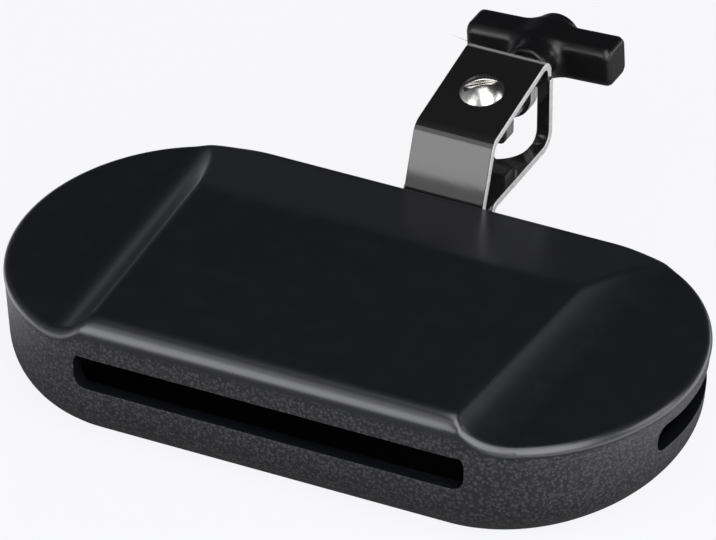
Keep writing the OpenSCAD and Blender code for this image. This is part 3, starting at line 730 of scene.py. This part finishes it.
def metal(name, colour, wear_and_highlight, roughness, scratch=1.0):
    """Metal with a slightly uneven surface: cloudy roughness, and fine scratches in two directions that
    show brighter bare metal."""
    material = bpy.data.materials.new(name)
    wires = Wiring(material)
    place = wires.put("TexCoord").outputs["Object"]
    clouds = wires.put("TexNoise", {"Vector": place, "Scale": 0.25 / mm, "Detail": 5.0,
                                    "Roughness": 0.6}).outputs["Fac"]
    lumps = wires.put("TexNoise", {"Vector": place, "Scale": 1 / (0.6 * mm), "Detail": 2.0}).outputs["Fac"]
    marks = []
    for turn, stretch in ((0.5, (6, 0.25, 0.25)), (-0.9, (0.3, 5, 0.3))):
        laid = wires.put("Mapping", {"Vector": place, "Rotation": (turn, turn / 2, turn), "Scale": stretch})
        grating = wires.put("TexNoise", {"Vector": laid.outputs[0], "Scale": 0.9 / mm, "Detail": 3.0})
        marks.append(grating.outputs["Fac"])
    crossed = wires.put("Math", {0: marks[0], 1: marks[1]}, operation="MAXIMUM").outputs[0]
    scratches = wires.ramp(crossed, (0.62, 0.0), (0.72, 1.0))
    bright = wires.put("Math", {0: scratches, 1: 0.25 * scratch}, operation="MULTIPLY", use_clamp=True)
    paint = wires.mixed(bright.outputs[0], colour, wear_and_highlight)
    cloudy = wires.put("MapRange", {"Value": clouds, "From Min": 0.3, "From Max": 0.7,
                                    "To Min": roughness * 0.75, "To Max": roughness * 1.3}).outputs[0]
    rough = wires.put("Math", {0: scratches, 1: 0.1 * scratch, 2: cloudy},
                      operation="MULTIPLY_ADD").outputs[0]
    bump = wires.put("Bump", {"Height": lumps, "Strength": 0.6, "Distance": 0.008 * mm})
    surface = wires.put("BsdfPrincipled", {"Base Color": paint, "Metallic": 1.0, "Roughness": rough,
                                           "Normal": bump.outputs[0]})
    wires.put("OutputMaterial", {"Surface": surface.outputs[0]})
    return material


def coated(name, colour, pale, roughness, shine, lump, depth):
    """Paint, cast skin, rubber or satin plastic: an uneven colour and a bumpy surface with lumps of one
    size, paler on the lumps, with a cloudy roughness."""
    material = bpy.data.materials.new(name)
    wires = Wiring(material)
    place = wires.put("TexCoord").outputs["Object"]
    lumps = wires.put("TexNoise", {"Vector": place, "Scale": 1 / lump, "Detail": 4.0,
                                   "Roughness": 0.55}).outputs["Fac"]
    clouds = wires.put("TexNoise", {"Vector": place, "Scale": 0.12 / mm, "Detail": 3.0}).outputs["Fac"]
    high = wires.ramp(lumps, (0.5, 0.0), (0.75, 1.0))
    paint = wires.mixed(high, colour, pale)
    rough = wires.put("MapRange", {"Value": clouds, "From Min": 0.3, "From Max": 0.7,
                                   "To Min": roughness * 0.85, "To Max": roughness * 1.15}).outputs[0]
    bump = wires.put("Bump", {"Height": lumps, "Strength": 0.8, "Distance": depth})
    surface = wires.put("BsdfPrincipled", {"Base Color": paint, "Roughness": rough,
                                           "Specular IOR Level": shine, "Normal": bump.outputs[0]})
    wires.put("OutputMaterial", {"Surface": surface.outputs[0]})
    return material


screw_black = metal("black_oxide_screws", (0.03, 0.03, 0.033), (0.16, 0.16, 0.17), 0.42)
shell_screws = dressed("shell_screws", 0.2 * mm)
fit(shell_screws, screw_black, "root", "shell_screws")


# Straps
# Two bent strips of steel make the clamp's loop behind the block. Their broad faces have a gloss
# black lacquer, and the long cut edges at both sides are bare bright steel. The upper one's rear bend
# carries a painted highlight, paler metal that stands for a reflection, and its riser leans a little less than
# the CAD's.

# Length of the rear bend's ridge that carries the painted highlight
highlight_ridge = 5 * mm
riser_foot = 26.5 * mm
bend_back = 58 * mm
flat_back = 69 * mm
riser_shift_share = 0.055

strap_lacquer = bpy.data.materials.new("gloss_black_lacquer")
wires = Wiring(strap_lacquer)
place = wires.put("TexCoord").outputs["Object"]
flow = wires.put("TexNoise", {"Vector": place, "Scale": 0.45 / mm, "Detail": 2.0}).outputs["Fac"]
dust = wires.put("TexNoise", {"Vector": place, "Scale": 5 / mm, "Detail": 2.0}).outputs["Fac"]
cloud = wires.put("TexNoise", {"Vector": place, "Scale": 0.1 / mm, "Detail": 3.0}).outputs["Fac"]
# The bare attribute is real bare steel on the cut edges, and a painted highlight on the upper strap's rear
# bend
bare = wires.put("Attribute", attribute_name="bare").outputs["Fac"]
sheared = wires.put("Mapping", {"Vector": place, "Scale": (1, 0.2, 3)}).outputs[0]
streaks = wires.put("TexNoise", {"Vector": sheared, "Scale": 1.5 / mm, "Detail": 3.0}).outputs["Fac"]
steel = wires.ramp(streaks, (0.3, 0.6), (0.7, 0.9))
specks = wires.ramp(dust, (0.7, 0.007), (0.78, 0.03))
paint = wires.mixed(bare, specks, steel)
rough_black = wires.put("MapRange", {"Value": cloud, "From Min": 0.3, "From Max": 0.7,
                                     "To Min": 0.08, "To Max": 0.14})
rough = wires.put("Math", {0: bare, 1: 0.3, 2: rough_black.outputs[0]}, operation="MULTIPLY_ADD").outputs[0]
part_metal = wires.put("Math", {0: bare, 1: 0.7}, operation="MULTIPLY").outputs[0]
bump = wires.put("Bump", {"Height": flow, "Strength": 0.5, "Distance": 0.02 * mm})
surface = wires.put("BsdfPrincipled", {"Base Color": paint, "Metallic": part_metal, "Roughness": rough,
                                       "Specular IOR Level": 0.7, "Normal": bump.outputs[0]})
wires.put("OutputMaterial", {"Surface": surface.outputs[0]})


def mark_bare_sides_and_highlight(piece, ridge, how_square=0.8):
    """Marks the cut edges of a strap, whose normal lies along X, as bare, and half so the ridge of its
    rear bend, as a painted highlight: where it faces up and back in the last stretch of that length."""
    flat = np.empty(len(piece.data.vertices) * 3)
    piece.data.vertices.foreach_get("normal", flat)
    normals, points = flat.reshape(-1, 3), points_of(piece)
    cut = np.clip((np.abs(normals[:, 0]) - how_square + 0.2) / 0.2, 0, 1)
    # Painted highlight: the rear bend's ridge is made half bare, so paler metal there stands for a reflection
    wear_and_highlight = (normals[:, 1] > 0) & (normals[:, 2] > 0.6) & (points[:, 1] > points[:, 1].max() - ridge)
    layer = piece.data.attributes.new("bare", "FLOAT", "POINT")
    layer.data.foreach_set("value", np.maximum(cut, 0.45 * wear_and_highlight).astype(np.float32))


def lean_less(piece):
    """Takes the riser of a strap forward by a share of its height over the foot, and with it the bend,
    and less and less of the flat top up to its far end."""
    points = points_of(piece)
    fade = np.clip((flat_back - points[:, 1]) / (flat_back - bend_back), 0, 1)
    points[:, 1] -= np.clip(points[:, 2] - riser_foot, 0, None) * riser_shift_share * fade
    piece.data.vertices.foreach_set("co", points.ravel())
    piece.data.update()


upper_strap = dressed("upper_strap", 0.35 * mm, 18, 3)
lean_less(upper_strap)
mark_bare_sides_and_highlight(upper_strap, highlight_ridge)
fit(upper_strap, strap_lacquer, "root", "upper_strap")
lower_strap = dressed("lower_strap", 0.35 * mm, 18, 3)
mark_bare_sides_and_highlight(lower_strap, 0)
fit(lower_strap, strap_lacquer, "root", "lower_strap")


# Mounting hardware
# Two bolts hold the straps' feet to the back wall, each with a flat washer and a split spring washer
# under its head. Inside the wall they pass through a steel plate into hexagon nuts.

bright_steel = metal("bright_zinc_steel", (0.62, 0.62, 0.63), (0.85, 0.85, 0.85), 0.3, scratch=1.2)
spring_steel = metal("blued_spring_steel", (0.2, 0.2, 0.22), (0.5, 0.5, 0.5), 0.35)
fit(dressed("mount_screws", 0.2 * mm), bright_steel, "root", "mount_screws")
fit(dressed("mount_washers", 0.12 * mm), bright_steel, "root", "mount_washers")
fit(dressed("spring_washers", 0.12 * mm), spring_steel, "root", "spring_washers")
fit(dressed("backing_plate", 0.3 * mm), bright_steel, "root", "backing_plate")
fit(dressed("mount_nuts", 0.2 * mm), bright_steel, "root", "mount_nuts")


# Fixed jaw and its screw
# A cast block with a black skin hangs under the upper strap, hollowed to seat a rod. One slotted
# screw with a low domed head, nickelled bright, holds it from above.

cast_black = coated("black_cast_skin", (0.006, 0.006, 0.0065), (0.02, 0.02, 0.021), 0.42, 0.4,
                    0.5 * mm, 0.05 * mm)
fit(dressed("fixed_jaw", 0.4 * mm, 40, 3), cast_black, "root", "fixed_jaw")
head_nickel = metal("bright_nickel_screw", (0.5, 0.49, 0.47), (0.8, 0.79, 0.76), 0.24, scratch=0.6)
fit(dressed("jaw_screw", 0.25 * mm, 40, 3), head_nickel, "root", "jaw_screw")


# Strap nut, shoe and bolt
# The nut's round shank joins the two straps, and the wing bolt runs through it. The bolt's round nose
# turns in the shoe, held by a pressed brass collar, and a rubber pad faces the rod.

fit(dressed("strap_nut", 0.3 * mm), bright_steel, "root", "strap_nut")
fit(dressed("shoe_plate", 0.25 * mm), bright_steel, "shoe", "shoe_plate")
pad_rubber = coated("black_rubber_pad", (0.014, 0.014, 0.014), (0.035, 0.035, 0.035), 0.75, 0.3,
                    0.35 * mm, 0.04 * mm)
fit(dressed("shoe_pad", 0.25 * mm), pad_rubber, "shoe", "shoe_pad")
brass = metal("turned_brass", (0.62, 0.44, 0.17), (0.85, 0.68, 0.35), 0.28)
fit(dressed("shoe_collar", 0.15 * mm), brass, "shoe", "shoe_collar")
fit(dressed("wing_bolt", 0.2 * mm), bright_steel, "wing_screw", "wing_bolt")


# Wing grip
# A moulded black handle: a round hub on the bolt, and two thick arms near its far end, square with
# rounded edges, that run into the hub by soft hollow joins. At rest they stand a few degrees from level.

grip_low, grip_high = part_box("wing_grip")
hub_radius, hub_length, hub_rounding = 5.9 * mm, 20 * mm, 1.2 * mm
arm_high, arm_deep, arm_length = 5.3 * mm, 5.2 * mm, 19.5 * mm
arm_edge = 2.6 * mm
arm_rounding = 1.6 * mm
arm_turn = math.radians(3)
join_radius = 3.2 * mm
hub_middle = np.array([0, grip_low[1] + hub_length / 2, (grip_low[2] + grip_high[2]) / 2])
arm_middle = np.array([0, grip_low[1] + hub_length * 0.6, hub_middle[2]])


def rounded_end(along, across, rounding):
    """Distance outside a bar with rounded end edges, from the distances past its end and its side."""
    along, across = along + rounding, across + rounding
    beyond = np.hypot(np.maximum(along, 0), np.maximum(across, 0))
    return np.minimum(np.maximum(along, across), 0) - rounding + beyond


def hub_distance(points):
    """Distance from the hub, a round bar along Y; less than 0 inside it."""
    x, y, z = (points - hub_middle).T
    return rounded_end(np.abs(y) - hub_length / 2, np.hypot(x, z) - hub_radius, hub_rounding)


def arm_distance(points):
    """Distance from the arms: a bar along the turned X axis whose section is a rounded rectangle; less
    than 0 inside it."""
    x, y, z = (points - arm_middle).T
    along = np.abs(x * math.cos(arm_turn) + z * math.sin(arm_turn))
    high = z * math.cos(arm_turn) - x * math.sin(arm_turn)
    side = rounded_end(np.abs(high) - arm_high, np.abs(y) - arm_deep, arm_edge)
    return rounded_end(along - arm_length, side, arm_rounding)


def grip_distance(points):
    """Distance from the grip: the lesser of hub and arms, less a share of h (1 - h) of the join's radius
    where they are nearly equal, h being how far one gives way to the other."""
    hub, arms = hub_distance(points), arm_distance(points)
    h = np.clip(0.5 + 0.5 * (arms - hub) / join_radius, 0, 1)
    return arms * (1 - h) + hub * h - join_radius * h * (1 - h)


def drawn_to_surface(points, distance, rounds=10, step=0.02 * mm):
    """Moves points along the slope of a distance until they lie where it is 0."""
    for _ in range(rounds):
        slope = np.stack([(distance(points + move) - distance(points - move)) / (2 * step)
                          for move in np.eye(3) * step], 1)
        slope /= np.maximum(np.linalg.norm(slope, axis=1, keepdims=True), 1e-9)
        points = points - slope * distance(points)[:, None]
    return points


along_y = Matrix.Rotation(math.pi / 2, 4, "X")
along_arms = Matrix.Rotation(-arm_turn, 4, "Y") @ Matrix.Rotation(math.pi / 2, 4, "Y")
shape = bmesh.new()
for middle, turn, high, deep, length in ((hub_middle, along_y, hub_radius, hub_radius, hub_length),
                                         (arm_middle, along_arms, arm_high, arm_deep, 2 * arm_length)):
    placed = Matrix.Translation(Vector(middle)) @ turn @ Matrix.Diagonal((high, deep, 1, 1))
    bmesh.ops.create_cone(shape, cap_ends=True, segments=48, radius1=1, radius2=1, depth=length, matrix=placed)
mesh = bpy.data.meshes.new("wing_grip_moulding")
shape.to_mesh(mesh)
shape.free()
grip = bpy.data.objects.new("wing_grip_moulding", mesh)
bpy.context.scene.collection.objects.link(grip)
even = grip.modifiers.new("even_mesh", "REMESH")
even.mode = "VOXEL"
even.voxel_size = 0.5 * mm
settled(grip)
grip.data.vertices.foreach_set("co", drawn_to_surface(points_of(grip), grip_distance).ravel())
finish_edges(grip, 60)
grip_plastic = coated("satin_black_grip", (0.003, 0.003, 0.0034), (0.008, 0.008, 0.009), 0.3, 0.35,
                      0.3 * mm, 0.008 * mm)
fit(grip, grip_plastic, "wing_screw", "wing_grip")
